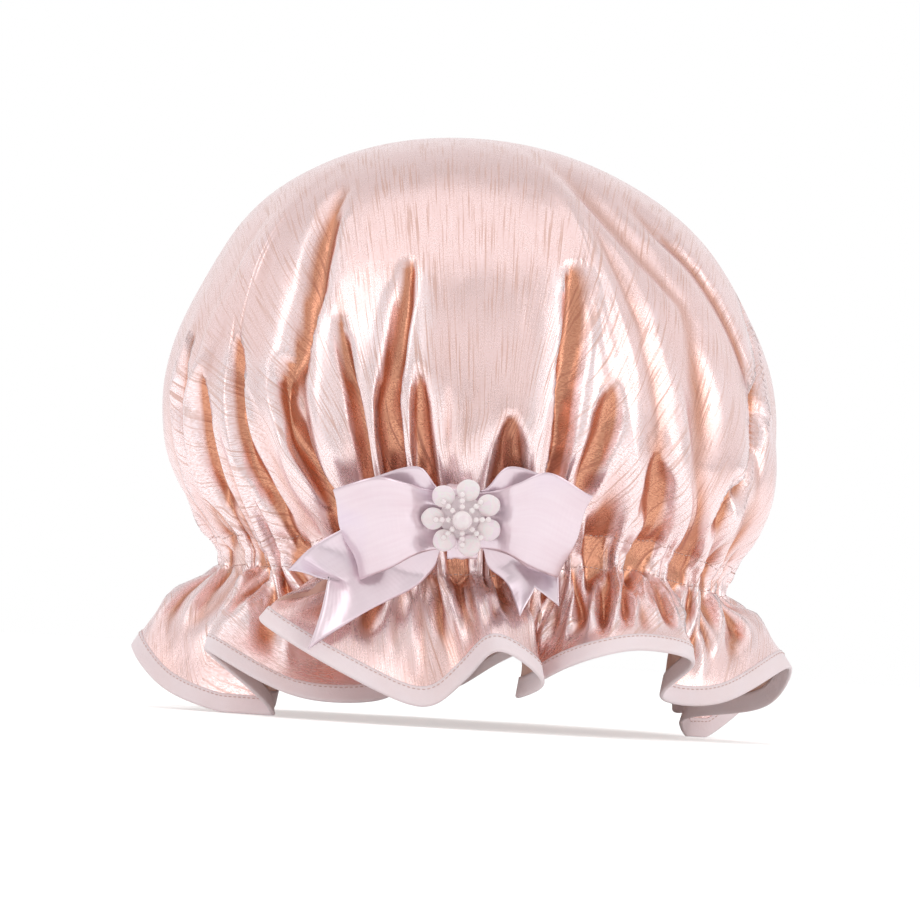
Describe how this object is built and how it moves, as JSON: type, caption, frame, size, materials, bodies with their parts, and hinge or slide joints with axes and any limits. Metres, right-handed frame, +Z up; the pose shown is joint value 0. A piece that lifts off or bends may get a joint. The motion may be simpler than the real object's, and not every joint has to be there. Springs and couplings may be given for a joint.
{
  "type": "shower cap",
  "caption": "Ruffled shower cap in metallic cloth: domed gathered crown, elastic neck casing, bound ruffle, ribbon bow and a bead flower at the front.",
  "frame": {"origin": "on the surface the cap stands on, under the middle of the whole object's box", "axes": "+Z up, the front with the bow faces -Y, +X to the right in a view from the front"},
  "size_m": [0.2806, 0.2832, 0.251],
  "materials": {
    "lame_cloth": "rose-gold metallic lame, crinkled, satin sheen",
    "lining_cloth": "thin waterproof coated lining, matte",
    "elastic": "braided elastic, matte",
    "binding_cloth": "pale pink bias tape, matte",
    "thread": "pale pink sewing thread",
    "satin_ribbon": "pale pink satin ribbon, soft gloss",
    "shell_petal": "mother-of-pearl, iridescent gloss",
    "pearl": "pearl coat, gloss",
    "felt": "felt, matte"
  },
  "bodies": {
    "root": {"outer_shell": "lame_cloth", "lining": "lining_cloth", "elastic_band": "elastic", "casing_stitch_upper": "thread", "casing_stitch_lower": "thread", "hem_binding": "binding_cloth", "hem_topstitch": "thread", "bow_loop_ribbon": "satin_ribbon", "bow_tail_ribbon": "satin_ribbon", "bow_centre_wrap": "satin_ribbon", "bow_tacking_thread": "thread", "flower_backing": "felt", "shell_petal_1": "shell_petal", "shell_petal_2": "shell_petal", "shell_petal_3": "shell_petal", "shell_petal_4": "shell_petal", "shell_petal_5": "shell_petal", "shell_petal_6": "shell_petal", "shell_petal_7": "shell_petal", "pearl_strand_1": "pearl", "pearl_strand_2": "pearl", "pearl_strand_3": "pearl", "pearl_strand_4": "pearl", "pearl_strand_5": "pearl", "pearl_strand_6": "pearl", "pearl_strand_7": "pearl", "pearl_strand_8": "pearl", "centre_pearl": "pearl"}
  },
  "joints": []
}
